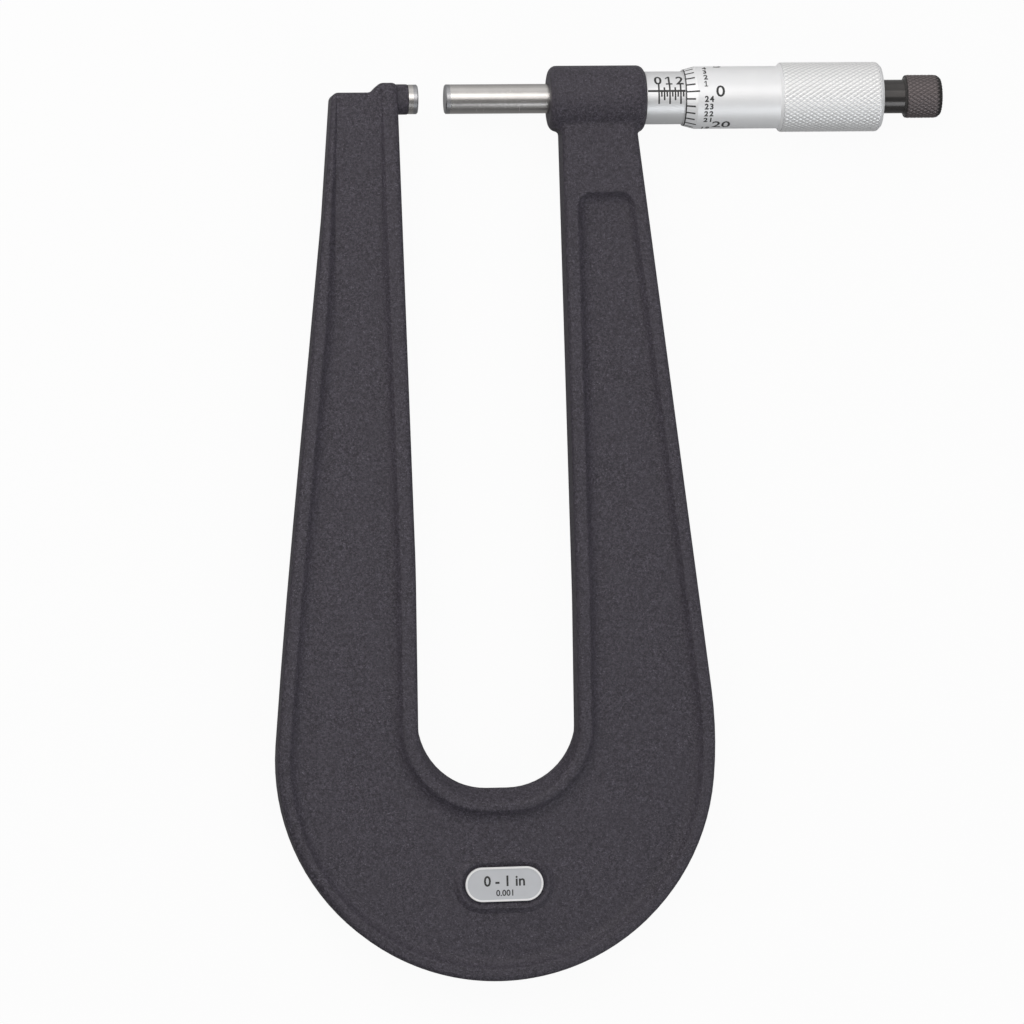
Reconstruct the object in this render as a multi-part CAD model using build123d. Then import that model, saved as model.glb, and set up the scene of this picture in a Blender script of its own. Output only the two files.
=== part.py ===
from build123d import *
import math
import os

# Deep-throat sheet metal micrometer, 0 to 1 inch, lying on its back. Millimetres.
# X runs along the spindle from the anvil to the thimble, Y points away from the throat, Z is up.
# The origin is the centre of the anvil's measuring face.

# Reading shown: the gap between the measuring faces, ten turns of a screw of 0.635 pitch
reading = 6.35
thread_dia = 7.4

# Measuring faces
face_dia = 6.8
face_chamfer = 0.25
tip_length = 1.1
anvil_reach = 2.2
anvil_shank_dia = 5.0
anvil_shank_length = 6.2

# Fits: radial clearances and end gaps
press_gap = 0.01
running_gap = 0.03
thread_gap = 0.04
thimble_gap = 0.15
end_gap = 0.05

# Frame outline: each side is given by its X on the spindle axis and its lean, and swells
# inwards from that line where a large arc joins it to the round bow
frame_thickness = 9.6
outer_left_x = -19.41
outer_left_lean = -6.09
outer_right_x = 49.7
outer_right_lean = 6.78
inner_left_x = -4.82
inner_left_lean = 1.35
inner_right_x = 32.93
inner_right_lean = 0.87
throat_depth = 158.75
bow_width = 44.3
left_upright_depth = 108.0
right_upright_depth = 115.0
upright_bend_radius = 300.0
throat_corner_radius = 16.1
left_swell = 0.57
right_swell = 1.03
left_side_radius = 2200.0
right_side_radius = 96.0
arm_top = 1.4
arm_corner_radius = 1.7
end_flare = 0.8
end_flare_depth = 27.0
end_bend_radius = 60.0
step_run = 2.2
step_to_boss = 6.2
step_radius = 1.9
edge_radius = 1.35
flare_run = 3.4
flare_foot = 1.2

# Anvil boss
boss_dia = 7.0
boss_edge_radius = 0.4
boss_root = 3.0
arm_above_boss = 0.1

# Recessed web on both faces
recess_depth = 2.0
recess_draft = 42.0
recess_cove = 3.0
outer_rim = 2.7
right_rim = 2.9
left_inner_rim = 3.5
right_inner_rim = 3.0
bow_inner_rim = 5.0
recess_edge_radius = 0.6
recess_end_depth = 0.4
recess_ramp_length = 52.0
end_rim = 0.9
end_rim_depth = 50.0
neck_length = 21.9
pocket_corner_radius = 3.4

# Hub
hub_front = 30.4
hub_length = 22.3
hub_dia = 15.1
hub_edge_radius = 1.9
neck_fillet = 1.6

# Badge and its raised pocket in the bow
badge_length = 18.0
badge_width = 7.9
badge_thickness = 0.8
badge_turn = 0.55
badge_x = 17.1
badge_above_bow = 22.3
badge_rim_width = 0.45
badge_rim_height = 0.15
pocket_gap = 0.15
pocket_depth = 0.7
pocket_run = 0.9
lip_width = 0.5
lip_height = 0.8
lip_run = 1.2

# Inner sleeve with the slit nut, and its adjusting nut
inner_sleeve_dia = 9.6
inner_sleeve_seat = 20.0
inner_sleeve_length = 57.8
guide_length = 18.0
nut_length = 22.0
nut_taper_length = 12.0
nut_end_dia = 9.1
slit_count = 3
slit_width = 0.5
slit_length = 14.0
adjusting_nut_dia = 11.4
adjusting_nut_length = 4.6
adjusting_nut_setback = 1.4
spanner_slot_count = 4
spanner_slot_width = 1.4
spanner_slot_depth = 1.2

# Graduated sleeve
sleeve_dia = 12.2
sleeve_to_nut = 2.0
sleeve_chamfer = 0.2
spanner_hole_dia = 1.3
spanner_hole_setback = 4.2

# Spindle behind the measuring rod
thread_start = 60.0
thread_end = 96.4
thread_relief_length = 1.2
thread_relief_dia = 6.0
taper_front_dia = 6.8
taper_rear_dia = 6.0
taper_end = 104.6
tapped_hole_dia = 2.8
tapped_hole_depth = 7.0

# Thimble
thimble_front = 61.6
thimble_edge_dia = 12.9
bevel_length = 2.8
thimble_dia = 14.4
grip_front = 83.8
grip_shoulder = 0.55
grip_dia = 15.75
grip_rear_chamfer = 0.7
thimble_rear = 108.0
thimble_floor = 97.6

# Ratchet stop
body_dia = 7.8
body_length = 6.1
neck_dia = 4.2
axle_dia = 3.0
ratchet_tooth_count = 12
ratchet_tooth_height = 0.4
tooth_ring_dia = 6.6
tooth_ring_bore = 4.2
knob_dia = 9.65
knob_front = 113.5
knob_rear = 122.4
knob_front_chamfer = 0.8
knob_rear_radius = 1.7
knob_wall_length = 2.9
clutch_length = 2.0
clutch_turn_back = 0.5
key_count = 2
key_width = 1.4
key_height = 0.4
spring_wire_dia = 0.5
spring_mean_dia = 5.4
spring_turns = 4.0
screw_shank_dia = 1.6
screw_shank_length = 3.5
screw_head_dia = 4.6
screw_head_length = 1.1
screw_head_recess = 0.3
screw_slot_width = 0.6
screw_slot_depth = 0.5

# Smallest difference that counts when an edge is picked by its place or size
tolerance = 1e-3

# How far a cut runs on past the face that it opens
overrun = 1.0

# Places that follow from the sizes above
half_thickness = frame_thickness / 2
bow_bottom = throat_depth + bow_width
hub_rear = hub_front + hub_length
inner_sleeve_front = hub_rear - inner_sleeve_seat
inner_sleeve_rear = inner_sleeve_front + inner_sleeve_length
adjusting_nut_rear = inner_sleeve_rear - adjusting_nut_setback
adjusting_nut_front = adjusting_nut_rear - adjusting_nut_length
sleeve_rear = adjusting_nut_front - sleeve_to_nut
body_rear = thimble_rear + body_length
clutch_front = body_rear + end_gap
clutch_rear = clutch_front + clutch_length
knob_floor = knob_rear - knob_wall_length
knob_bore = body_dia / 2 + running_gap
screw_seat = knob_rear - screw_head_recess - screw_head_length


def along_x(profile):
    """Solid of revolution about the spindle axis from a profile of (x, radius) points."""
    outline = Polyline([(x, radius, 0) for x, radius in profile], close=True)
    return revolve(make_face(outline), axis=Axis.X, revolution_arc=360)


def rod(start, end, diameter):
    """Plain cylinder on the spindle axis."""
    return along_x([(start, 0), (end, 0), (end, diameter / 2), (start, diameter / 2)])


def spun(piece, count):
    """Copies of a piece, evenly turned about the spindle axis."""
    return [Rot(X=360 * turn / count) * piece for turn in range(count)]


def side_line(x_on_axis, lean, inset=0.0):
    """Point and downward direction of a frame side; a positive inset moves the line towards +X."""
    lean = math.radians(lean)
    down = Vector(math.sin(lean), -math.cos(lean))
    return Vector(x_on_axis + inset / math.cos(lean), 0), down


def point_at(line, y):
    """Point of a side line at the height y."""
    start, down = line
    return start + down * ((y - start.Y) / down.Y)


def circle_between(left, right, lowest):
    """Centre and radius of the circle that touches both side lines and the level y = lowest."""
    # Distance from a line is normal . (centre - start), with centre = (x, lowest + radius)
    rows = []
    for (start, down), inward in ((left, 1), (right, -1)):
        normal = Vector(-down.Y, down.X) * inward
        rows.append((normal.X, normal.Y - 1, normal.dot(start) - normal.Y * lowest))
    (a, b, e), (c, d, f) = rows
    x = (e * d - b * f) / (a * d - b * c)
    radius = (a * f - e * c) / (a * d - b * c)
    return Vector(x, lowest + radius), radius


def side_blend(line, inward, centre, radius, blend_radius):
    """Ends of the large arc that joins a side line to the bow circle, tangent to both."""
    start, down = line
    normal = Vector(-down.Y, down.X) * inward
    rise = blend_radius - normal.dot(centre - start)
    run = math.sqrt((blend_radius - radius) ** 2 - rise**2)
    middle = centre + normal * rise - down * run
    on_line = middle - normal * blend_radius
    on_circle = centre + (centre - middle).normalized() * radius
    return on_line, on_circle


def bow_outline(rim_left, rim_bow, rim_right):
    """Sides and bow of the frame, set in by a rim: two lines, two side arcs and the bow arc."""
    left = side_line(outer_left_x, outer_left_lean, rim_left)
    right = side_line(outer_right_x, outer_right_lean, -rim_right)
    bow_left = side_line(outer_left_x, outer_left_lean, left_swell)
    bow_right = side_line(outer_right_x, outer_right_lean, -right_swell)
    centre, bow_radius = circle_between(bow_left, bow_right, -bow_bottom)
    radius = bow_radius - rim_bow
    left_top, left_bow = side_blend(left, 1, centre, radius, left_side_radius)
    right_top, right_bow = side_blend(right, -1, centre, radius, right_side_radius)
    bottom = centre - Vector(0, radius)
    arcs = [
        TangentArc(left_top, left_bow, tangent=left[1]),
        ThreePointArc(left_bow, bottom, right_bow),
        TangentArc(right_top, right_bow, tangent=right[1]),
    ]
    return left, right, left_top, right_top, arcs


def throat_outline(rim_left, rim_bottom, rim_right, left_end, right_end, end_radii=()):
    """Sides and bottom of the throat, set out by a rim, between two points high on its sides.

    Each side leans and then stands upright near the bottom.
    """
    left = side_line(inner_left_x, inner_left_lean, -rim_left)
    right = side_line(inner_right_x, inner_right_lean, rim_right)
    left_bend = point_at(left, -left_upright_depth)
    right_bend = point_at(right, -right_upright_depth)
    lowest = -throat_depth - rim_bottom
    corner = throat_corner_radius + (rim_left + rim_right) / 2
    return FilletPolyline(
        *left_end, left_bend, Vector(left_bend.X, lowest), Vector(right_bend.X, lowest),
        right_bend, *right_end,
        radius=[upright_bend_radius, corner, corner, upright_bend_radius, *end_radii],
    )


def frame_plan():
    """Flat outline of the forging without its throat."""
    left, right, left_low, right_low, bow = bow_outline(0, 0, 0)
    inner_left = side_line(inner_left_x, inner_left_lean)
    inner_right = side_line(inner_right_x, inner_right_lean)
    boss_top = boss_dia / 2 + arm_above_boss
    inner_corner = point_at(inner_left, boss_top)
    step_foot = Vector(inner_corner.X - step_to_boss, arm_top)
    step_top = Vector(step_foot.X + step_run, boss_top)
    arm_end = FilletPolyline(
        left_low, point_at(left, -end_flare_depth), point_at(left, arm_top) - Vector(end_flare, 0),
        step_foot, step_top, inner_corner,
        radius=[end_bend_radius, arm_corner_radius, step_radius, step_radius],
    )
    hub_left = point_at(inner_right, 0)
    hub_right = point_at(right, 0)
    edges = [
        *arm_end.edges(),
        Line(inner_corner, hub_left),
        Line(hub_left, hub_right),
        Line(hub_right, right_low),
        *bow,
    ]
    return make_face(edges)


def throat_plan(rim_bottom):
    """Outline of the throat, open past the ends of the arms."""
    left_end = point_at(side_line(inner_left_x, inner_left_lean), frame_thickness)
    right_end = point_at(side_line(inner_right_x, inner_right_lean), frame_thickness)
    sides = throat_outline(0, rim_bottom, 0, [left_end], [right_end])
    return make_face([*sides.edges(), Line(right_end, left_end)])


def throat():
    """Cutter for the throat, whose round bottom slants away towards both faces."""
    middle = extrude(throat_plan(0), amount=flare_foot, both=True)
    flare = loft([Pos(Z=flare_foot) * throat_plan(0), Pos(Z=half_thickness) * throat_plan(flare_run)])
    return middle + flare + mirror(flare, about=Plane.XY)


def web_plan(inset):
    """Outline of the recessed web, set in from its edge: open past the end of the left arm,
    closed below the hub."""
    rim, rim_right = outer_rim + inset, right_rim + inset
    left, right, left_low, right_low, bow = bow_outline(rim, rim, rim_right)
    rims = [left_inner_rim + inset, bow_inner_rim + inset, right_inner_rim + inset]
    inner_left = side_line(inner_left_x, inner_left_lean, -rims[0])
    inner_right = side_line(inner_right_x, inner_right_lean, rims[2])
    neck_end = -neck_length - inset
    past_end = arm_top + frame_thickness - inset
    bend = point_at(left, -end_rim_depth)
    rim_end = point_at(side_line(outer_left_x, outer_left_lean), arm_top)
    rim_end -= Vector(end_flare - end_rim - inset, 0)
    outer_end = bend + (rim_end - bend) * ((past_end - bend.Y) / (rim_end.Y - bend.Y))
    inner_end = point_at(inner_left, past_end)
    outer_side = FilletPolyline(left_low, bend, outer_end, radius=upright_bend_radius)
    inner_side = throat_outline(
        *rims, [inner_end], [point_at(inner_right, neck_end), point_at(right, neck_end), right_low],
        [pocket_corner_radius - inset, pocket_corner_radius - inset],
    )
    edges = [*outer_side.edges(), Line(outer_end, inner_end), *inner_side.edges(), *bow]
    return make_face(edges)


def recess():
    """Cutter for one face's web: slanted walls that run into it with a wide cove."""
    inset = recess_depth * math.tan(math.radians(recess_draft))
    web = half_thickness - recess_depth
    cutter = loft([Pos(Z=half_thickness) * web_plan(0), Pos(Z=web) * web_plan(inset)], ruled=True)
    floor = cutter.faces().sort_by(Axis.Z)[0]
    return fillet(floor.edges(), radius=recess_cove) - arm_ramp()


def arm_ramp():
    """What the recess leaves on the web towards the end of the left arm, where it runs out."""
    rise = recess_depth - recess_end_depth
    foot = arm_top - recess_ramp_length
    web = half_thickness - recess_depth
    past_end = arm_top + frame_thickness
    past_rise = rise * (past_end - foot) / recess_ramp_length
    corners = [(foot, web), (past_end, web + past_rise), (past_end, 0), (foot, 0)]
    section = make_face(Polyline([(outer_left_x * 2, y, z) for y, z in corners], close=True))
    return extrude(section, amount=-outer_left_x * 2 + inner_left_x, dir=(1, 0, 0))


def badge_place(height):
    """Place of the badge's middle at a height above the mid-plane."""
    return Pos(badge_x, badge_above_bow - bow_bottom, height) * Rot(Z=badge_turn)


def badge_pad():
    """Raised obround pad on the web, rooted in it, before the badge's pocket is sunk in it."""
    web = half_thickness - recess_depth
    spread = 2 * (pocket_gap + pocket_run + lip_width + lip_run)
    plan = SlotOverall(badge_length + spread, badge_width + spread)
    lip_draft = math.degrees(math.atan2(lip_run, lip_height))
    pad = extrude(badge_place(web) * plan, amount=lip_height, taper=lip_draft)
    pad += extrude(badge_place(web) * plan, amount=-lip_height)
    return fillet(pad.faces().sort_by(Axis.Z)[-1].edges(), radius=lip_width / 2)


def badge_pocket():
    """Cutter for the badge's pocket, with walls that spread towards the open side."""
    plan = SlotOverall(badge_length + 2 * pocket_gap, badge_width + 2 * pocket_gap)
    pocket_draft = math.degrees(math.atan2(pocket_run, pocket_depth))
    floor = half_thickness - recess_depth + lip_height - pocket_depth
    return extrude(badge_place(floor) * plan, amount=pocket_depth, taper=-pocket_draft)


def circles(solid, diameter):
    """Whole circular edges of one diameter."""
    round_edges = solid.edges().filter_by(GeomType.CIRCLE)
    return round_edges.filter_by(
        lambda edge: edge.is_closed and abs(edge.radius - diameter / 2) < tolerance
    )


def flat_edges(solid):
    """Edges that lie in the two flat faces of the forging."""
    return solid.edges().filter_by(
        lambda edge: abs(abs(edge.center().Z) - half_thickness) < tolerance
    )


def forging():
    """U-shaped blank with rounded edges and a recessed web on each face."""
    cut = throat()
    blank = extrude(frame_plan(), amount=half_thickness, both=True) - cut
    outer = flat_edges(blank).filter_by(
        lambda edge: cut.distance_to(edge.center()) > tolerance < abs(edge.center().Y)
    )
    blank = fillet(outer, edge_radius)
    inner = flat_edges(blank).filter_by(lambda edge: cut.distance_to(edge.center()) < tolerance)
    blank = fillet(inner, edge_radius)
    cutter = recess()
    cutters = [cutter, mirror(cutter, about=Plane.XY)]
    solid = blank - cutters
    brink = flat_edges(solid).filter_by(
        lambda edge: min(each.distance_to(edge.center()) for each in cutters) < tolerance
    )
    return fillet(brink, recess_edge_radius)


def frame():
    blank = forging() + badge_pad() - badge_pocket()
    hub = rod(hub_front, hub_rear, hub_dia)
    solid = blank + hub
    solid = fillet(new_edges(blank, hub, combined=solid), neck_fillet)
    solid = fillet(circles(solid, hub_dia), hub_edge_radius)
    boss = rod(inner_left_x - boss_root, -anvil_reach, boss_dia)
    solid += boss
    solid = fillet(circles(solid, boss_dia).sort_by(Axis.X)[-1], boss_edge_radius)
    solid -= rod(hub_front - overrun, hub_rear + overrun, face_dia + 2 * running_gap)
    solid -= rod(inner_sleeve_front, hub_rear + overrun, inner_sleeve_dia + 2 * press_gap)
    solid -= rod(-anvil_reach - anvil_shank_length, 0, anvil_shank_dia + 2 * press_gap)
    return solid


def anvil():
    head = rod(-anvil_reach, -tip_length, face_dia)
    shank = rod(-anvil_reach - anvil_shank_length + end_gap, -anvil_reach, anvil_shank_dia)
    return head + shank


def measuring_tip(face_x, outward):
    """Hard-metal disc with a small chamfer round its measuring face."""
    radius = face_dia / 2
    back = face_x - outward * tip_length
    edge = face_x - outward * face_chamfer
    return along_x(
        [(back, 0), (back, radius), (edge, radius), (face_x, radius - face_chamfer), (face_x, 0)]
    )


def anvil_tip():
    return measuring_tip(0, 1)


def spindle_tip():
    return measuring_tip(reading, -1)


def spindle():
    rod_radius = face_dia / 2
    relief_radius = thread_relief_dia / 2
    profile = [
        (reading + tip_length, 0),
        (reading + tip_length, rod_radius),
        (thread_start - thread_relief_length, rod_radius),
        (thread_start - thread_relief_length, relief_radius),
        (thread_start, relief_radius),
        (thread_start, thread_dia / 2),
        (thread_end, thread_dia / 2),
        (thread_end, relief_radius),
        (thimble_floor, relief_radius),
        (thimble_floor, taper_front_dia / 2),
        (taper_end, taper_rear_dia / 2),
        (taper_end, 0),
    ]
    tapped_hole = rod(taper_end - tapped_hole_depth, taper_end + overrun, tapped_hole_dia)
    return along_x(profile) - tapped_hole


def inner_sleeve():
    outer_radius = inner_sleeve_dia / 2
    taper_start = inner_sleeve_rear - nut_taper_length
    profile = [
        (inner_sleeve_front + end_gap, 0),
        (inner_sleeve_front + end_gap, outer_radius),
        (taper_start, outer_radius),
        (inner_sleeve_rear, nut_end_dia / 2),
        (inner_sleeve_rear, 0),
    ]
    guide_end = inner_sleeve_front + guide_length
    nut_front = inner_sleeve_rear - nut_length
    sleeve_body = along_x(profile)
    sleeve_body -= rod(inner_sleeve_front, guide_end, face_dia + 2 * running_gap)
    sleeve_body -= rod(guide_end, nut_front, thread_dia + 2 * thimble_gap)
    sleeve_body -= rod(nut_front, inner_sleeve_rear + overrun, thread_dia + 2 * thread_gap)
    slit = Box(slit_length + overrun, slit_width, inner_sleeve_dia)
    slit = Pos(inner_sleeve_rear + (overrun - slit_length) / 2, 0, outer_radius) * slit
    for cut in spun(slit, slit_count):
        sleeve_body -= cut
    return sleeve_body


def adjusting_nut():
    """Nut with a tapered thread that squeezes the slit end, and spanner slots in its rear face."""
    front = adjusting_nut_front
    rear = adjusting_nut_rear
    slope = (inner_sleeve_dia - nut_end_dia) / 2 / nut_taper_length
    bore_rear = nut_end_dia / 2 + slope * adjusting_nut_setback + thread_gap
    bore_front = bore_rear + slope * adjusting_nut_length
    outer = adjusting_nut_dia / 2
    nut = along_x([(front, bore_front), (rear, bore_rear), (rear, outer), (front, outer)])
    slot = Pos(rear, 0, outer) * Box(2 * spanner_slot_depth, spanner_slot_width, outer)
    for cut in spun(slot, spanner_slot_count):
        nut -= cut
    return nut


def sleeve():
    bore = inner_sleeve_dia / 2 + running_gap
    outer = sleeve_dia / 2
    front = hub_rear + end_gap
    tube = along_x(
        [
            (front, bore),
            (front, outer),
            (sleeve_rear - sleeve_chamfer, outer),
            (sleeve_rear, outer - sleeve_chamfer),
            (sleeve_rear, bore),
        ]
    )
    hole = Pos(hub_rear + spanner_hole_setback, 0, -outer) * Cylinder(
        spanner_hole_dia / 2, sleeve_dia / 2
    )
    return tube - hole


def thimble():
    bore = sleeve_dia / 2 + thimble_gap
    grip_start = grip_front + grip_shoulder
    grip_radius = grip_dia / 2
    taper_slope = (taper_front_dia - taper_rear_dia) / 2 / (taper_end - thimble_floor)
    profile = [
        (thimble_front, bore),
        (thimble_front, thimble_edge_dia / 2),
        (thimble_front + bevel_length, thimble_dia / 2),
        (grip_front, thimble_dia / 2),
        (grip_start, grip_radius),
        (thimble_rear - grip_rear_chamfer, grip_radius),
        (thimble_rear, grip_radius - grip_rear_chamfer),
        (thimble_rear, neck_dia / 2 + running_gap),
        (taper_end + end_gap, neck_dia / 2 + running_gap),
        (taper_end + end_gap, taper_rear_dia / 2 - taper_slope * end_gap + press_gap),
        (thimble_floor, taper_front_dia / 2 + press_gap),
        (thimble_floor, bore),
    ]
    return along_x(profile)


def saw_teeth(base_x, bore, diameter):
    """Ring of saw teeth on the plane x = base_x: each one ramps up towards +X and drops sharply."""
    half_step = math.pi / ratchet_tooth_count
    sections = []
    for radius in (bore / 2, diameter / 2):
        reach = radius * math.tan(half_step)
        corners = [
            (base_x - ratchet_tooth_height, -reach),
            (base_x - ratchet_tooth_height, reach),
            (base_x + ratchet_tooth_height, reach),
            (base_x, -reach),
        ]
        sections.append(make_face(Polyline([(x, y, radius) for x, y in corners], close=True)))
    return spun(loft(sections, ruled=True), ratchet_tooth_count)


def ratchet_body():
    """Threaded stud, neck, glossy barrel with saw teeth on its end, and the knob's axle."""
    neck_radius = neck_dia / 2
    stud_front = taper_end - tapped_hole_depth + 2 * end_gap
    stud_radius = tapped_hole_dia / 2 - thread_gap
    profile = [
        (stud_front, 0),
        (stud_front, stud_radius),
        (taper_end + 2 * end_gap, stud_radius),
        (taper_end + 2 * end_gap, neck_radius),
        (thimble_rear, neck_radius),
        (thimble_rear, body_dia / 2),
        (body_rear, body_dia / 2),
        (body_rear, axle_dia / 2),
        (screw_seat, axle_dia / 2),
        (screw_seat, 0),
    ]
    body = along_x(profile)
    for tooth in saw_teeth(body_rear, tooth_ring_bore, tooth_ring_dia):
        body += tooth
    return body - rod(screw_seat - screw_shank_length, screw_seat + overrun, screw_shank_dia)


def clutch_keys(start, end, clearance):
    """Square ribs that stick out of the clutch's rim, grown by a clearance for the knob's slots."""
    reach = knob_bore + key_height + clearance
    width = key_width + 2 * clearance
    rib = Pos((start + end) / 2, 0, reach / 2) * Box(end - start, width, reach)
    return spun(rib, key_count)


def ratchet_clutch():
    """Disc with saw teeth that mesh with the body's, and ribs that slide in the knob's slots."""
    disc = rod(clutch_front, clutch_rear, 2 * (knob_bore - running_gap))
    for rib in clutch_keys(clutch_front + ratchet_tooth_height, clutch_rear, 0):
        disc += rib
    ring = saw_teeth(clutch_front, tooth_ring_bore - 2 * end_gap, tooth_ring_dia + 4 * end_gap)
    for tooth in ring:
        disc -= Rot(X=-clutch_turn_back) * tooth
    return disc - rod(clutch_front - overrun, clutch_rear + overrun, axle_dia + 2 * running_gap)


def ratchet_spring():
    """Coil spring between the clutch and the end wall of the knob."""
    front = clutch_rear + spring_wire_dia / 2 + end_gap
    length = knob_floor - spring_wire_dia / 2 - end_gap - front
    mean_radius = spring_mean_dia / 2
    path = Helix(length / spring_turns, length, mean_radius, (front, 0, 0), (1, 0, 0))
    start = path @ 0
    section = Plane(origin=start, z_dir=path % 0) * Circle(spring_wire_dia / 2)
    return sweep(section, path=path, is_frenet=True)


def ratchet_knob():
    radius = knob_dia / 2
    knob = along_x(
        [
            (knob_front, 0),
            (knob_front, radius - knob_front_chamfer),
            (knob_front + knob_front_chamfer, radius),
            (knob_rear, radius),
            (knob_rear, 0),
        ]
    )
    rear_edge = knob.edges().filter_by(GeomType.CIRCLE).sort_by(Axis.X)[-1]
    knob = fillet(rear_edge, radius=knob_rear_radius)
    knob -= rod(knob_front - overrun, knob_floor, 2 * knob_bore)
    knob -= rod(knob_floor - overrun, knob_rear, axle_dia + 2 * running_gap)
    knob -= rod(screw_seat - end_gap, knob_rear + overrun, screw_head_dia + 4 * end_gap)
    for slot in clutch_keys(clutch_front, knob_floor, running_gap):
        knob -= slot
    return knob


def ratchet_screw():
    """Slotted screw whose head stands on the axle and keeps the knob on it."""
    head_end = screw_seat + screw_head_length
    shank_start = screw_seat - screw_shank_length + end_gap
    screw = rod(shank_start, screw_seat, screw_shank_dia - 2 * thread_gap)
    screw += rod(screw_seat, head_end, screw_head_dia)
    return screw - Pos(head_end, 0, 0) * Box(2 * screw_slot_depth, screw_slot_width, screw_head_dia)


def badge():
    """Bare obround plate with a raised bright rim."""
    floor = half_thickness - recess_depth + lip_height - pocket_depth
    plate = extrude(badge_place(floor) * SlotOverall(badge_length, badge_width), badge_thickness)
    field = SlotOverall(badge_length - 2 * badge_rim_width, badge_width - 2 * badge_rim_width)
    sunk = badge_place(floor + badge_thickness) * field
    return plate - extrude(sunk, amount=-badge_rim_height)


PIECES = {
    "frame": frame,
    "anvil": anvil,
    "anvil_tip": anvil_tip,
    "spindle": spindle,
    "spindle_tip": spindle_tip,
    "inner_sleeve": inner_sleeve,
    "adjusting_nut": adjusting_nut,
    "sleeve": sleeve,
    "thimble": thimble,
    "ratchet_body": ratchet_body,
    "ratchet_clutch": ratchet_clutch,
    "ratchet_spring": ratchet_spring,
    "ratchet_knob": ratchet_knob,
    "ratchet_screw": ratchet_screw,
    "badge": badge,
}

if __name__ == "__main__":
    os.makedirs("parts", exist_ok=True)
    for name, build in PIECES.items():
        export_step(build(), os.path.join("parts", name + ".step"))
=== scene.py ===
"""Sheet metal micrometer: finishes, knurling, scales, studio and camera.

Lengths are written in millimetres and turned into the scene's metres by `mm`.
The axis of the spindle is X, the arms hang towards -Y and the camera looks
down -Z on the micrometer, which lies on its back. Turns round the axis start
at +Z, where the camera is, and grow towards +Y.
"""
from math import pi, radians

import bmesh
import bpy
import numpy as np
from mathutils import Matrix, Vector


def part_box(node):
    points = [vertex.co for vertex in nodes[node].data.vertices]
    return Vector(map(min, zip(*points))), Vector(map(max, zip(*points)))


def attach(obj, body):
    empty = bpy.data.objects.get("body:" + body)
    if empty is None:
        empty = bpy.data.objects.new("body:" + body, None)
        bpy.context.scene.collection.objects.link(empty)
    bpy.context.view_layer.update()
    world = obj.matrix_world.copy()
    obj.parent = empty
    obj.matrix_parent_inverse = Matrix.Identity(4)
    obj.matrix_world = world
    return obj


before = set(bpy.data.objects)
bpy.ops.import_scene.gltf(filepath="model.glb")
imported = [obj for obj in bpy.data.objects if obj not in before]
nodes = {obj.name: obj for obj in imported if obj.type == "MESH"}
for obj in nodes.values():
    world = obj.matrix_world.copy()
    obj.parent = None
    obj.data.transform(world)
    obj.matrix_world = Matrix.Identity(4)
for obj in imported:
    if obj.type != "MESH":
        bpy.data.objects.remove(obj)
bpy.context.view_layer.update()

mm = 0.001

# Rest places and radii, as the solids have them.
sleeve_radius = 6.1
thimble_front, bevel_end = 61.6, 64.4
bevel_radius, thimble_radius = 6.45, 7.2
grip_start, grip_end, grip_radius = 84.35, 107.3, 7.875
knob_start, knob_end, knob_radius, knob_rounding = 113.95, 122.4, 4.825, 1.7
badge_rim_height = 0.15


# ---------------------------------------------------------------- materials


class Signal:
    """A socket on its way through a node tree. Arithmetic on it adds Math nodes."""

    def __init__(self, owner, socket):
        self.owner, self.socket = owner, socket

    def maths(self, operation, *values):
        settings = {"operation": operation}
        return self.owner.node("ShaderNodeMath", settings, dict(enumerate(values)))

    def __add__(self, other):
        return self.maths("ADD", self, other)

    def __mul__(self, other):
        return self.maths("MULTIPLY", self, other)

    def __pow__(self, other):
        return self.maths("POWER", self, other)

    __radd__ = __add__
    __rmul__ = __mul__

    def size(self):
        return self.maths("ABSOLUTE", self)

    def at_least(self, other):
        return self.maths("MAXIMUM", self, other)

    def at_most(self, other):
        return self.maths("MINIMUM", self, other)

    def step(self, low, high):
        """0 below low and 1 above high, with a smooth rise between."""
        settings = {"interpolation_type": "SMOOTHSTEP"}
        inputs = {"Value": self, "From Min": low, "From Max": high}
        return self.owner.node("ShaderNodeMapRange", settings, inputs)


class Tree:
    """A node tree that grows by one call for each node."""

    def __init__(self, tree):
        self.tree = tree
        tree.nodes.clear()

    def node(self, kind, settings=None, inputs=None, output=0):
        """Adds a node: its settings first, then a value or a link for each socket."""
        made = self.tree.nodes.new(kind)
        for name, value in (settings or {}).items():
            setattr(made, name, value)
        for key, value in (inputs or {}).items():
            if isinstance(value, Signal):
                self.tree.links.new(value.socket, made.inputs[key])
            else:
                made.inputs[key].default_value = value
        return Signal(self, made.outputs[output]) if len(made.outputs) else None

    def mix(self, amount, first, second):
        """Goes from the first colour to the second."""
        inputs = {0: amount, 6: first, 7: second}
        return self.node("ShaderNodeMix", {"data_type": "RGBA"}, inputs, output=2)

    def parts(self, vector):
        """The X, Y and Z of a vector."""
        split = self.node("ShaderNodeSeparateXYZ", inputs={0: vector})
        outputs = split.socket.node.outputs
        return [Signal(self, outputs[axis]) for axis in range(3)]


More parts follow.
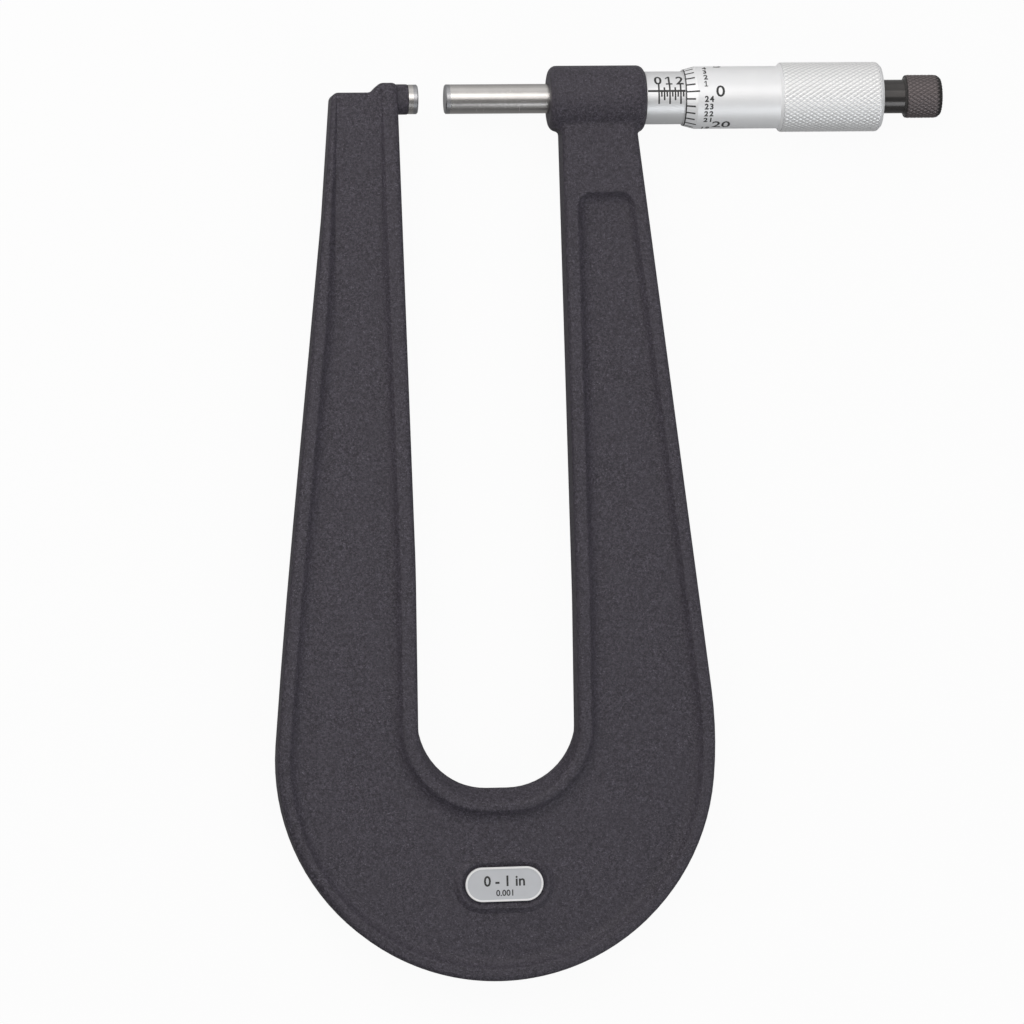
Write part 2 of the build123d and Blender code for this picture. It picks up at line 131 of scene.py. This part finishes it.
class Finish(Tree):
    """A material with one Principled surface. Constant sockets come by name."""

    def __init__(self, name, **constants):
        self.material = bpy.data.materials.new(name)
        self.material.use_nodes = True
        super().__init__(self.material.node_tree)
        self.place = self.node("ShaderNodeTexCoord", output="Object")
        named = {key.replace("_", " "): value for key, value in constants.items()}
        self.surface = self.node("ShaderNodeBsdfPrincipled", inputs=named)
        self.node("ShaderNodeOutputMaterial", inputs={"Surface": self.surface})

    def feed(self, **signals):
        """Links what varies over the surface into the Principled node."""
        for key, signal in signals.items():
            socket = self.surface.socket.node.inputs[key.replace("_", " ")]
            self.tree.links.new(signal.socket, socket)
        return self

    def noise(self, grain, detail=2.0, stretch=(1, 1, 1), **inputs):
        """Noise, 0 to 1, whose blotches are about `grain` millimetres across.

        `stretch` multiplies the places first, so a low number draws the
        blotches out along its axis.
        """
        mapped = self.node("ShaderNodeMapping", inputs={"Vector": self.place, "Scale": stretch})
        sockets = {"Vector": mapped, "Scale": 1 / (grain * mm), "Detail": detail}
        return self.node("ShaderNodeTexNoise", inputs={**sockets, **inputs})

    def relief(self, height, depth):
        """Bump whose full height is `depth` millimetres."""
        return self.node("ShaderNodeBump", inputs={"Height": height, "Distance": depth * mm})

    def clouded(self, size, low, high):
        """A colour that drifts between two tones in clouds `size` millimetres across."""
        return self.mix(self.noise(size), low, high)

    def dress(self, colour, grain, rough, spread, depth):
        """Feeds a colour, and one grain as both roughness and relief.

        The roughness is `rough` plus `spread` times the grain, and the relief
        is the grain times `depth` millimetres.
        """
        return self.feed(Base_Color=colour, Roughness=rough + grain * spread,
                         Normal=self.relief(grain, depth))


# Noise scales that draw a grain out round the axis, as turning and lapping
# leave it, or along it, as brushing does.
turned = (1, 0.03, 0.03)
brushed = (0.05, 1, 1)


def grey(value, red=1.0, green=1.0, blue=1.0):
    """An opaque colour near grey."""
    return (value * red, value * green, value * blue, 1.0)


def wrinkle_enamel():
    """Baked wrinkle paint: close fine pebbles, with painted shade in the gaps between them and
    painted glints on scattered flecks.
    """
    gap, pebble = grey(0.019, 1.08, 0.93, 1.26), grey(0.071, 1.07, 0.95, 1.22)
    glint_grey, patch = grey(0.15, 1.05, 0.97, 1.17), grey(0.042, 1.07, 0.95, 1.22)
    finish = Finish("wrinkle_black", Specular_IOR_Level=0.35)
    coarse = finish.noise(0.5, 2.5, Distortion=0.8)
    fine = finish.noise(0.24, 1.5)
    height = coarse * 0.65 + fine * 0.45
    # Painted shade: the low places between the pebbles are coloured darker than the paint.
    crests = height.step(0.4, 0.74)
    # Painted glints: scattered flecks on the high places are coloured lighter.
    painted_glints = fine.step(0.6, 0.72) * coarse.step(0.5, 0.65)
    patches = finish.noise(9).step(0.35, 0.65) * 0.25
    shaded_pebbles = finish.mix(crests, gap, pebble)
    glinted = finish.mix(painted_glints, shaded_pebbles, glint_grey)
    return finish.feed(Base_Color=finish.mix(patches, glinted, patch),
                       Roughness=0.42 + fine * 0.15, Normal=finish.relief(height, 0.3))


def ground_steel(name, value, rough, tint=(1.025, 0.99, 0.96)):
    """Ground and lapped steel: fine lines round the axis, faint cloudiness."""
    finish = Finish(name, Metallic=1.0)
    lines = finish.noise(0.06, stretch=turned)
    colour = finish.clouded(3, grey(value * 0.92, *tint), grey(value * 1.06, *tint))
    return finish.dress(colour, lines, rough, spread=0.1, depth=0.0015)


def satin_chrome(name, value, rough, metal):
    """Satin chrome: an even blasted grain, so dull that much of it scatters like paint."""
    finish = Finish(name, Metallic=metal)
    tint = (0.985, 0.99)
    colour = finish.clouded(5, grey(value * 0.96, *tint), grey(value * 1.03, *tint))
    return finish.dress(colour, finish.noise(0.09), rough, spread=0.12, depth=0.003)


def black_oxide(name, value, rough, metal):
    """Polished black oxide: dark half-metal with faint turning lines."""
    finish = Finish(name, Metallic=metal)
    lines = finish.noise(0.08, 1.5, stretch=turned)
    colour = finish.clouded(2, grey(value * 0.85, 1.03, 0.98, 0.97),
                            grey(value * 1.15, 1.05, 0.98, 0.95))
    return finish.dress(colour, lines, rough, spread=0.08, depth=0.002)


def knurled_metal(name, shaded_groove, crest, rough, metal, radius):
    """Knurled surface: its colour goes with the distance from the axis.

    The bottoms of the grooves, just under the carrying radius, have the first
    colour, painted darker as shade, and the crests, more than a tenth of a millimetre over it,
    the second.
    """
    finish = Finish(name, Metallic=metal)
    _, y, z = finish.parts(finish.place)
    height = ((y * y + z * z) ** 0.5).step((radius - 0.06) * mm, (radius + 0.12) * mm)
    # Painted shade: the grooves are coloured darker than the crests.
    colour = finish.mix(height, shaded_groove, crest)
    return finish.dress(colour, finish.noise(0.12), rough, spread=0.12, depth=0.004)


def ink():
    """Black filling in engraved lines, a little uneven. It also paints the shadow ring at the
    thimble's front edge.
    """
    finish = Finish("black_filling_and_edge_shadow")
    wear = finish.noise(0.2)
    colour = finish.mix(wear, grey(0.012), grey(0.04))
    return finish.feed(Base_Color=colour, Roughness=0.45 + wear * 0.2)


def badge_plate():
    """Satin plate, brushed along its length, with faint clouds and a painted highlight on its
    raised rim.
    """
    finish = Finish("badge_plate", Metallic=0.6)
    tint = (0.97, 0.99, 1.03)
    face = finish.clouded(4, grey(0.6, *tint), grey(0.68, *tint))
    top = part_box("badge")[1][2]
    # Painted highlight: the top of the raised rim is coloured near white.
    rim_highlight = finish.parts(finish.place)[2].step(top - 0.13 * mm, top - 0.03 * mm)
    colour = finish.mix(rim_highlight, face, grey(0.95))
    lines = finish.noise(0.08, stretch=brushed)
    return finish.dress(colour, lines, 0.38, spread=0.15, depth=0.002)


def piece(name, points, faces, body, finish, smooth=False):
    """Puts points (in millimetres) and faces into a mesh that rides on a body."""
    mesh = bpy.data.meshes.new(name)
    mesh.from_pydata((np.asarray(points, float) * mm).tolist(), [], np.asarray(faces).tolist())
    mesh.materials.append(finish.material)
    mesh.polygons.foreach_set("use_smooth", np.full(len(mesh.polygons), smooth))
    mesh.update()
    made = bpy.data.objects.new(name, mesh)
    bpy.context.scene.collection.objects.link(made)
    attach(made, body)
    return made


# ------------------------------------------------------------------- knurls

# Diamonds: their pitch along the axis, how many stand round it, and the share
# of the first helix's depth that stays in its grooves.
grip_pitch, grip_count, grip_fill = 1.58, 48, 0.12
knob_pitch, knob_count, knob_fill = 1.65, 30, 0.0
knob_arc_share = 0.85

# A diamond has this many rows and columns. Its crest stands over a ground
# that lies just proud of the solid, and at both ends, over the fade, the band
# dips under the solid and closes on a plain ring inside it.
diamond_steps = 8
crest_height, ground_height = 0.17, 0.008
fade_length, end_dip, ring_depth = 0.25, 0.03, 0.3


def triangle_wave(phase):
    """0 where the phase is whole, 1 half way between, straight flanks."""
    return 1 - np.abs(2 * (phase % 1) - 1)


def knurl_heights(along, around, pitch, count, fill):
    """Diamond knurl, 0 to 1: the lower of two triangle waves, one for each helix.

    Each helix has its own phase, the turn times `count` plus or minus the run
    divided by `pitch`. Grooves lie where a phase is whole, crests between. The
    share `fill` of the first helix's depth is left standing in its grooves.
    Four fifths of the way up the crests are cut flat, and the power of 0.9
    rounds the flanks outwards.
    """
    turns, runs = np.meshgrid(around * count, along / pitch)
    first = fill + (1 - fill) * triangle_wave(turns + runs)
    lower = np.minimum(first, triangle_wave(turns - runs))
    return np.minimum(lower * 1.25, 1) ** 0.9


def knurled_band(name, rows, pitch, count, fill, body, finish):
    """A closed band round the X axis whose outer face carries a diamond knurl.

    `rows` holds the axial place, the radius and the outward direction in the
    axial plane of each row. A point is its row's place and radius plus the
    knurl's height along that direction, turned round the axis. Rows and
    columns are an eighth of a diamond apart, so that the grooves lie on the
    edges of the triangles.
    """
    run, radius, outward = rows
    columns = count * diamond_steps
    along = np.arange(len(run)) * pitch / diamond_steps
    around = np.arange(columns) / columns
    from_end = np.minimum(along, along[-1] - along)
    fade = np.clip(from_end / fade_length, 0, 1)[:, None]
    crests = knurl_heights(along, around, pitch, count, fill) * crest_height
    lift = crests * fade - end_dip * (1 - fade) + ground_height
    x = run[:, None] + outward[:, :1] * lift
    r = radius[:, None] + outward[:, 1:] * lift
    ring = np.ones((1, columns))
    x = np.vstack([ring * run[0], x, ring * run[-1]])
    r = np.vstack([ring * (radius[0] - ring_depth), r, ring * (radius[-1] - ring_depth)])
    turn = 2 * pi * around[None, :]
    points = np.stack([x, r * np.sin(turn), r * np.cos(turn)], -1).reshape(-1, 3)
    return piece(name, points, band_faces(*x.shape), body, finish, smooth=True)


def band_faces(rows, columns):
    """Triangles of a grid closed both ways, with their diagonals in a chequer."""
    i, j = np.meshgrid(np.arange(rows), np.arange(columns), indexing="ij")
    next_i, next_j = (i + 1) % rows, (j + 1) % columns
    a, b = i * columns + j, i * columns + next_j
    c, d = next_i * columns + next_j, next_i * columns + j
    odd = ((i + j) % 2 == 1)[..., None]
    first = np.where(odd, np.stack([a, b, c], -1), np.stack([a, b, d], -1))
    second = np.where(odd, np.stack([a, c, d], -1), np.stack([b, c, d], -1))
    return np.concatenate([first.reshape(-1, 3), second.reshape(-1, 3)])


def straight_rows(start, end, radius, pitch):
    """Rows an eighth of a diamond apart along a cylinder."""
    count = int((end - start) / pitch * diamond_steps) + 1
    run = start + np.arange(count) * pitch / diamond_steps
    return run, np.full(count, radius), np.tile([0.0, 1.0], (count, 1))


def rounded_rows(start, end, radius, rounding, pitch, share):
    """Rows along a cylinder and on over a share of its rounded end.

    The arc's centre lies `rounding` in from the end and from the side, and a
    row's turn on it is its run past the tangent point divided by `rounding`.
    """
    tangent = end - rounding
    length = tangent - start + share * rounding * pi / 2
    count = int(length / pitch * diamond_steps) + 1
    along = start + np.arange(count) * pitch / diamond_steps
    turn = np.maximum(along - tangent, 0) / rounding
    run = np.minimum(along, tangent) + rounding * np.sin(turn)
    row_radius = radius - rounding * (1 - np.cos(turn))
    return run, row_radius, np.stack([np.sin(turn), np.cos(turn)], -1)


# ------------------------------------------------------------------- scales

# The filling stands this high over the metal, so that it hides the metal under it.
ink_height = 0.012

# Zero of both scales, and the turns round the axis where they are read. The
# cross lines lie a fortieth of an inch apart.
index_turn, zero_turn = radians(10.9), radians(7.9)
sleeve_zero, inch_fortieth = 55.42, 0.635

# The sleeve's reading line: start, end and width. Its cross lines repeat
# every four: lowest and highest turn of each, in degrees.
reading_line = (52.85, 82.2, 0.5)
cross_width = 0.38
cross_reach = ((-17.5, 26.9), (-1.6, 10.9), (-9.2, 19.1), (-1.6, 10.9))
sleeve_figure = {"height": 2.4, "width": 1.77, "bold": 0.02}
sleeve_figure_turn, sleeve_figure_shift = radians(37.1), -0.1

# The thimble's lines: width, and length of the zero, the fives and the rest.
# They start behind a painted shadow at the front edge: a band of black filling that stands for
# the shade at that edge, and begins just behind the front.
bevel_line_width, zero_length, five_length, unit_length = 0.36, 2.9, 2.45, 1.95
edge_shadow_start, edge_shadow_end = 0.02, 0.3
five_figure = {"height": 2.7, "width": 2.05, "bold": 0.012}
unit_figure = {"height": 1.42, "width": 0.96, "bold": 0.035, "gap": 1.25, "from_left": True}
five_place, two_digit_shift, unit_place = 69.6, 0.6, 65.9

# The badge's lines of text, each with its height and its drop from the
# badge's centre, and the turn of the badge in the bow.
badge_text = (("0 - 1 in", 2.5, -0.75), ("0.001", 1.45, 2.0))
badge_bold, badge_turn = 0.02, radians(0.55)

# A ruled line's points along and round, and the width of a figure's strips.
along_count, round_count = 3, 11
strip_width = 0.2


def thimble_surface(x):
    """Radius of the thimble: a bevel that rises to the plain tube."""
    return np.interp(x, [thimble_front, bevel_end], [bevel_radius, thimble_radius])


def sleeve_surface(x):
    """Radius of the sleeve, the same all along."""
    return np.full_like(x, sleeve_radius)


def wrapped(x, turn, surface):
    """Points on a surface round X, from their places along it and their turns.

    Y is the radius times the sine of the turn, and Z the radius times its cosine.
    """
    r = surface(x) + ink_height
    return np.stack([x, r * np.sin(turn), r * np.cos(turn)], -1)


def half_turn_of(width, radius):
    """Half the turn that a line of this width takes at this radius."""
    return width / 2 / radius


def ruled_lines(marks, surface, bend):
    """Patches for lines given as rows of start, end, middle turn and half turn.

    Every patch is a grid of three places along (the middle one on the bend,
    where the line crosses it) and eleven turns, so that long cross lines keep
    to the surface.
    """
    start, end, middle, half = np.array(marks, float).T
    crosses = (start < bend) & (bend < end)
    along = np.stack([start, np.where(crosses, bend, (start + end) / 2), end], 1)
    turns = middle[:, None] + half[:, None] * np.linspace(-1, 1, round_count)
    x, turn = np.broadcast_arrays(along[:, :, None], turns[:, None, :])
    points = wrapped(x, turn, surface).reshape(-1, 3)
    corner = np.arange(along_count - 1)[:, None] * round_count + np.arange(round_count - 1)
    first = np.arange(len(start))[:, None] * along_count * round_count
    a = (first + corner.ravel()).ravel()
    b, c, d = a + round_count, a + round_count + 1, a + 1
    return points, np.concatenate([np.stack([a, b, c], -1), np.stack([a, c, d], -1)])


def flagged_one():
    """A figure 1 of height 1 with a flag and a foot, which the font's lacks."""
    corners = [(-0.08, -0.36), (0.08, -0.36), (0.08, 0.5), (-0.08, 0.5),
               (-0.3, 0.28), (-0.3, 0.14), (-0.08, 0.3),
               (-0.28, -0.5), (0.28, -0.5), (0.28, -0.36), (-0.28, -0.36)]
    stem, flag, foot = (0, 1, 2, 3, 6), (3, 4, 5, 6), (7, 8, 9, 1, 0, 10)
    mesh = bpy.data.meshes.new("flagged_one")
    mesh.from_pydata([(x, y, 0) for x, y in corners], [], [stem, flag, foot])
    return mesh


def flat_points(mesh):
    """The X and Y of a flat mesh's points."""
    places = np.empty(len(mesh.vertices) * 3, np.float32)
    mesh.vertices.foreach_get("co", places)
    return places.reshape(-1, 3)[:, :2].astype(float)


def glyph_outline(text, height, gap=1.0, bold=0.0):
    """Flat text as points and triangles, centred, cut in strips to bend well.

    The points are the font's own, or the flagged 1's, times `height` divided
    by their own height. `gap` widens the space between letters and `bold`
    thickens them.
    """
    curve = bpy.data.curves.new("lettering", "FONT")
    curve.body, curve.align_x, curve.align_y = text, "CENTER", "CENTER"
    curve.size, curve.space_character, curve.offset, curve.resolution_u = 1.0, gap, bold, 3
    made = bpy.data.objects.new("lettering", curve)
    mesh = flagged_one() if text == "1" else bpy.data.meshes.new_from_object(made)
    up = flat_points(mesh)[:, 1]
    scale = height / np.ptp(up)
    shape = bmesh.new()
    shape.from_mesh(mesh)
    for cut in np.arange(up.min(), up.max(), strip_width / scale)[1:]:
        everything = shape.verts[:] + shape.edges[:] + shape.faces[:]
        bmesh.ops.bisect_plane(shape, geom=everything, plane_co=(0, cut, 0), plane_no=(0, 1, 0))
    bmesh.ops.triangulate(shape, faces=shape.faces[:])
    shape.to_mesh(mesh)
    shape.free()
    points = flat_points(mesh)
    corners = np.empty(len(mesh.loops), np.int32)
    mesh.loops.foreach_get("vertex_index", corners)
    bpy.data.objects.remove(made)
    bpy.data.curves.remove(curve)
    bpy.data.meshes.remove(mesh)
    centre = (points.min(0) + points.max(0)) / 2
    return (points - centre) * scale, corners.reshape(-1, 3)


def joined(parts):
    """Several lots of points and triangles as one."""
    starts = np.cumsum([0] + [len(points) for points, _ in parts[:-1]])
    faces = [lot + start for start, (_, lot) in zip(starts, parts)]
    return np.concatenate([points for points, _ in parts]), np.concatenate(faces)


def wrapped_text(text, x, turn, surface, height, width, gap=1.0, bold=0.0, from_left=False):
    """Figures bent round the axis: their up runs round, their right runs along X.

    They are drawn out until a nought is as wide as `width`. A point's turn is
    its height over the text's middle divided by the radius.
    """
    nought, _ = glyph_outline("0", height, gap, bold)
    points, faces = glyph_outline(text, height, gap, bold)
    points = points * (width / np.ptp(nought[:, 0]), 1)
    if from_left:
        points[:, 0] -= points[:, 0].min()
    radius = surface(np.array([x]))[0]
    return wrapped(x + points[:, 0], turn + points[:, 1] / radius, surface), faces


def sleeve_scale():
    """The reading line and 41 cross lines, every fourth long and numbered."""
    start, end, width = reading_line
    marks = [(start, end, index_turn, half_turn_of(width, sleeve_radius))]
    numbers = []
    for line in range(41):
        x = sleeve_zero + line * inch_fortieth
        low, high = (radians(reach) for reach in cross_reach[line % 4])
        middle, half = (high + low) / 2, (high - low) / 2
        marks.append((x - cross_width / 2, x + cross_width / 2, middle, half))
        if line % 4 == 0:
            numbers.append(wrapped_text(str(line // 4), x + sleeve_figure_shift,
                                        sleeve_figure_turn, sleeve_surface, **sleeve_figure))
    points, faces = joined([ruled_lines(marks, sleeve_surface, 0), *numbers])
    return piece("sleeve_scale", points, faces, "sleeve_body", filling_and_shadow)


def thimble_scale():
    """Twenty-five lines on the bevel, with large figures at the fives, and a painted shadow
    ringing the front edge.
    """
    marks, numbers = [], []
    line_start = thimble_front + edge_shadow_end
    half_turn = half_turn_of(bevel_line_width, bevel_radius)
    for line in range(25):
        turn = zero_turn + line * 2 * pi / 25
        if line % 5 == 0:
            length = five_length if line else zero_length
            place = five_place + (two_digit_shift if line > 9 else 0)
            style = five_figure
        else:
            length, place, style = unit_length, unit_place, unit_figure
        marks.append((line_start, line_start + length, turn, half_turn))
        numbers.append(wrapped_text(str(line), place, turn, thimble_surface, **style))
    # Painted shadow: twelve patches of black filling ring the front edge, where the edge lies
    # in shade.
    for twelfth in range(12):
        shadow_start = thimble_front + edge_shadow_start
        marks.append((shadow_start, line_start, twelfth * pi / 6, pi / 12))
    points, faces = joined([ruled_lines(marks, thimble_surface, bevel_end), *numbers])
    return piece("thimble_scale", points, faces, "spindle_set", filling_and_shadow)


def badge_range():
    """The measuring range and the graduation on the badge's face.

    The text lies flat and is turned about the badge's centre by its turn.
    """
    low, high = (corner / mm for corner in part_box("badge"))
    centre = (low + high) / 2
    face = high.z - badge_rim_height + ink_height
    cosine, sine = np.cos(badge_turn), np.sin(badge_turn)
    parts = []
    for text, height, drop in badge_text:
        points, faces = glyph_outline(text, height, bold=badge_bold)
        x, y = points[:, 0], points[:, 1] - drop
        right, up = x * cosine - y * sine, x * sine + y * cosine
        placed = np.stack([centre.x + right, centre.y + up, np.full(len(x), face)], -1)
        parts.append((placed, faces))
    points, faces = joined(parts)
    return piece("badge_range", points, faces, "frame_body", filling_and_shadow)


# -------------------------------------------------------------------- pieces

enamel = wrinkle_enamel()
steel = ground_steel("ground_steel", 0.62, 0.2)
hard_tip = ground_steel("carbide", 0.42, 0.3, (1, 1, 1.03))
chrome = satin_chrome("satin_chrome", 0.87, 0.36, 0.34)
sleeve_chrome = satin_chrome("sleeve_chrome", 0.8, 0.3, 0.55)
oxide = black_oxide("black_oxide", 0.065, 0.14, 0.6)
wire = ground_steel("spring_steel", 0.4, 0.25)
plate = badge_plate()
filling_and_shadow = ink()
# Painted shade: the grip's grooves are coloured bluish grey and the knob's pits near black.
grip_chrome = knurled_metal("knurled_chrome", grey(0.42, blue=1.06), grey(0.9, blue=0.995),
                            0.35, 0.5, grip_radius)
knob_oxide = knurled_metal("knurled_oxide", grey(0.022, 1.1), grey(0.135, 1.12, 0.95, 0.96),
                           0.34, 0.5, knob_radius)

finishes = {
    "frame": enamel, "anvil": steel, "anvil_tip": hard_tip, "spindle": steel,
    "spindle_tip": hard_tip, "inner_sleeve": steel, "adjusting_nut": steel,
    "sleeve": sleeve_chrome, "thimble": chrome, "ratchet_body": oxide,
    "ratchet_clutch": steel, "ratchet_spring": wire, "ratchet_knob": oxide,
    "ratchet_screw": oxide, "badge": plate,
}
for name, finish in finishes.items():
    nodes[name].data.materials[0] = finish.material

grip_rows = straight_rows(grip_start, grip_end, grip_radius, grip_pitch)
knurled_band("thimble_knurl", grip_rows, grip_pitch, grip_count, grip_fill,
             "spindle_set", grip_chrome)
knob_rows = rounded_rows(knob_start, knob_end, knob_radius, knob_rounding, knob_pitch,
                         knob_arc_share)
knurled_band("knob_knurl", knob_rows, knob_pitch, knob_count, knob_fill,
             "knob_body", knob_oxide)
sleeve_scale()
thimble_scale()
badge_range()


# -------------------------------------------------------------------- studio

# The floor lies just under the thimble's knurl, and its half side is in metres.
floor_level, floor_half = -8.05 * mm, 3.0

# Lamps: direction from the place they look at, distance, width and height in
# metres, power in watts and colour.
lamp_target = Vector((0.045, -0.02, 0))
warm, cool = (1.0, 0.98, 0.965), (0.93, 0.965, 1.0)
lamps = {
    "upper_box": ((0.18, 0.3, 0.92), 0.85, 0.6, 0.6, 1.17, warm),
    "left_box": ((-0.5, 0.3, 0.81), 0.47, 0.5, 0.5, 1.35, warm),
    "lower_box": ((0.47, -0.74, 0.54), 1.0, 0.6, 0.52, 2.5, cool),
}

# The camera's focal length and sensor, its place, the place that it looks at
# and the direction that is up in the photograph, which is turned a little.
focal_length, sensor_width = 199.56, 36.0
camera_place = Vector((-140.9, -95.255, 1298.6)) * mm
camera_target = Vector((20.577, -95.255, 0)) * mm
photo_up = Vector((0.01525, 1, 0))


def studio_floor():
    """A pale floor just under the micrometer.

    To the camera it is white, apart from the object's shadow. In metal it
    shows grey below the head and brighter beyond it.
    """
    mesh = bpy.data.meshes.new("floor")
    sides = ((-1, -1), (1, -1), (1, 1), (-1, 1))
    corners = [(x * floor_half, y * floor_half, floor_level) for x, y in sides]
    mesh.from_pydata(corners, [], [(0, 1, 2, 3)])
    made = bpy.data.objects.new("floor", mesh)
    bpy.context.scene.collection.objects.link(made)
    finish = Finish("floor", Roughness=0.9, Base_Color=grey(0.6))
    rays = finish.node("ShaderNodeLightPath").socket.node.outputs
    to_camera = Signal(finish, rays["Is Camera Ray"])
    to_metal = Signal(finish, rays["Is Glossy Ray"])
    beyond = finish.parts(finish.place)[1].step(-0.03, 0.05)
    mirrored = finish.mix(beyond, grey(0.2), grey(0.6))
    shown = finish.mix(to_metal, grey(1.0), mirrored)
    glow = finish.node("ShaderNodeEmission", inputs={"Color": shown, "Strength": 1.0})
    share = (to_camera * 0.95).at_least(to_metal)
    both = finish.node("ShaderNodeMixShader", inputs={0: share, 1: finish.surface, 2: glow})
    out = finish.tree.nodes["Material Output"]
    finish.tree.links.new(both.socket, out.inputs["Surface"])
    mesh.materials.append(finish.material)


def studio_world():
    """Soft room light: bright from the far side, less from the ends, dim elsewhere."""
    world = bpy.data.worlds.new("studio")
    bpy.context.scene.world = world
    world.use_nodes = True
    tree = Tree(world.node_tree)
    x, y, _ = tree.parts(tree.node("ShaderNodeTexCoord", output="Generated"))
    glow = y.step(0.2, 0.9) + x.size().step(0.4, 0.95) * 0.5
    colour = tree.mix(glow.at_most(1.0), grey(0.19), grey(0.85))
    background = tree.node("ShaderNodeBackground", inputs={"Color": colour, "Strength": 1.0})
    tree.node("ShaderNodeOutputWorld", inputs={"Surface": background})


def softbox(name, direction, distance, width, height, power, tint):
    """An area lamp that looks at a place just below the hub."""
    lamp = bpy.data.lights.new(name, "AREA")
    lamp.shape, lamp.size, lamp.size_y = "RECTANGLE", width, height
    lamp.energy, lamp.color = power, tint
    made = bpy.data.objects.new(name, lamp)
    bpy.context.scene.collection.objects.link(made)
    away = Vector(direction).normalized()
    made.location = lamp_target + away * distance
    made.rotation_euler = away.to_track_quat("Z", "Y").to_euler()
    made.visible_camera = False


def camera():
    """Looks down on the middle of the photograph from a little to the left."""
    data = bpy.data.cameras.new("camera")
    data.lens, data.sensor_width = focal_length, sensor_width
    data.clip_start, data.clip_end = 0.1, 20
    made = bpy.data.objects.new("camera", data)
    bpy.context.scene.collection.objects.link(made)
    back = (camera_place - camera_target).normalized()
    right = photo_up.cross(back).normalized()
    turned_frame = Matrix((right, back.cross(right), back)).transposed().to_4x4()
    made.matrix_world = Matrix.Translation(camera_place) @ turned_frame
    bpy.context.scene.camera = made


studio_floor()
studio_world()
for name, values in lamps.items():
    softbox(name, *values)
camera()
bpy.context.scene.view_settings.view_transform = "Standard"
